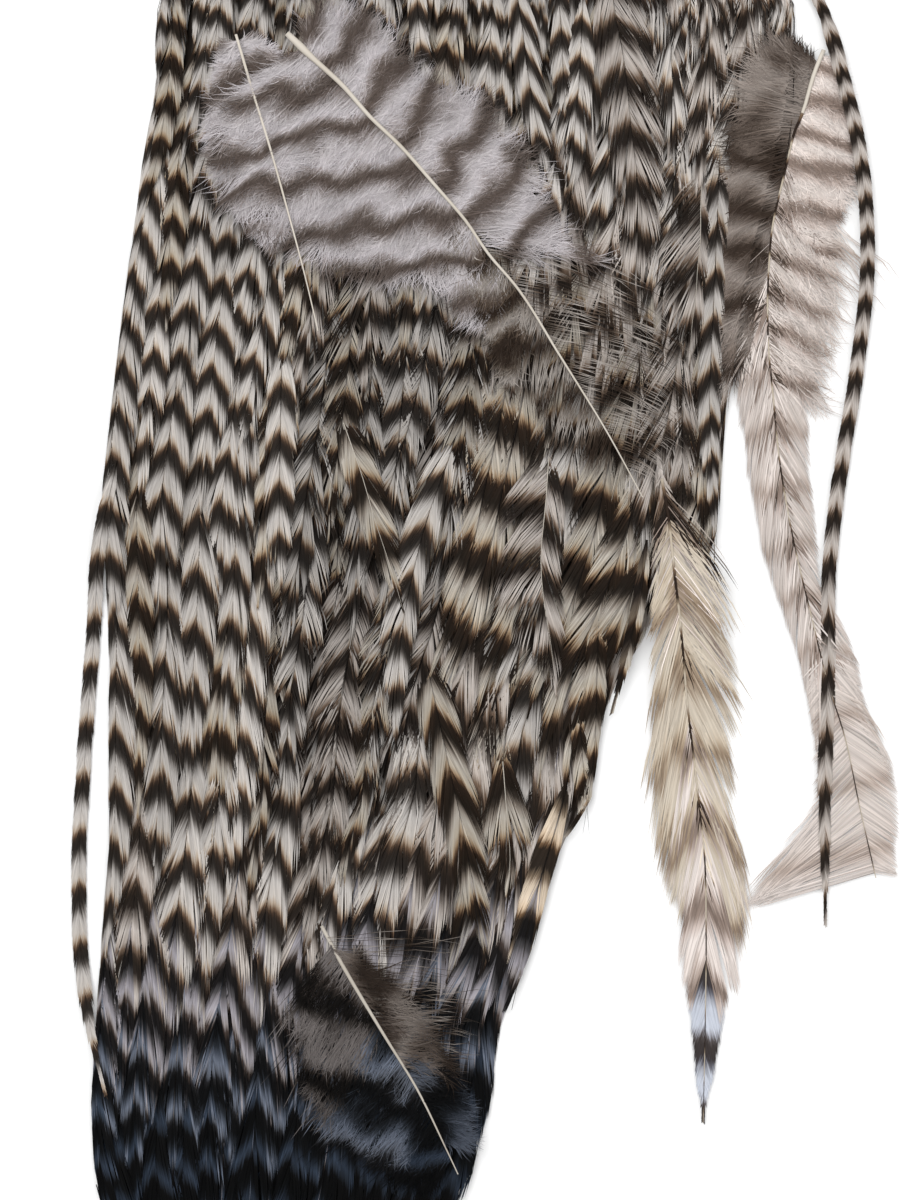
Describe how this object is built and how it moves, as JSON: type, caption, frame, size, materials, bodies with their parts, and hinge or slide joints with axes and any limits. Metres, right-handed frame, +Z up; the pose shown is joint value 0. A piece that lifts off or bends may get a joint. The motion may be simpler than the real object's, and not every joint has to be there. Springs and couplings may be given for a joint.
{
  "type": "rooster cape pelt",
  "caption": "Dried rooster cape pelt with long barred black-and-white hackles, a pale hackle at its edge and loose downy feathers lying on it.",
  "frame": {"origin": "centre of the skin's flat underside, on the surface that the pelt lies on", "axes": "+Y along the pelt from the long hackle tips to the head end, +X to the right seen from above with the head end up, +Z up out of the feathers"},
  "size_m": [0.1672, 0.3427, 0.0163],
  "materials": {
    "skin": "dried, translucent, slightly waxy",
    "barred_hackle": "satin feather barbs, off-white and near-black bars with brown fringes",
    "pale_feather": "satin feather barbs, cream with faint brown-grey bars",
    "side_down": "soft matt down, pinkish cream with brown bars",
    "grey_down": "soft matt down, grey-brown bars"
  },
  "bodies": {
    "root": {"skin": "skin", "hackle_coat": "barred_hackle", "left_stray_hackle": "barred_hackle", "right_long_hackle": "barred_hackle", "pale_hackle": "pale_feather", "short_dark_hackle": "barred_hackle", "side_downy_feather": "side_down", "loose_downy_feather": "grey_down", "loose_thin_feather": "grey_down", "loose_lower_feather": "grey_down"}
  },
  "joints": []
}
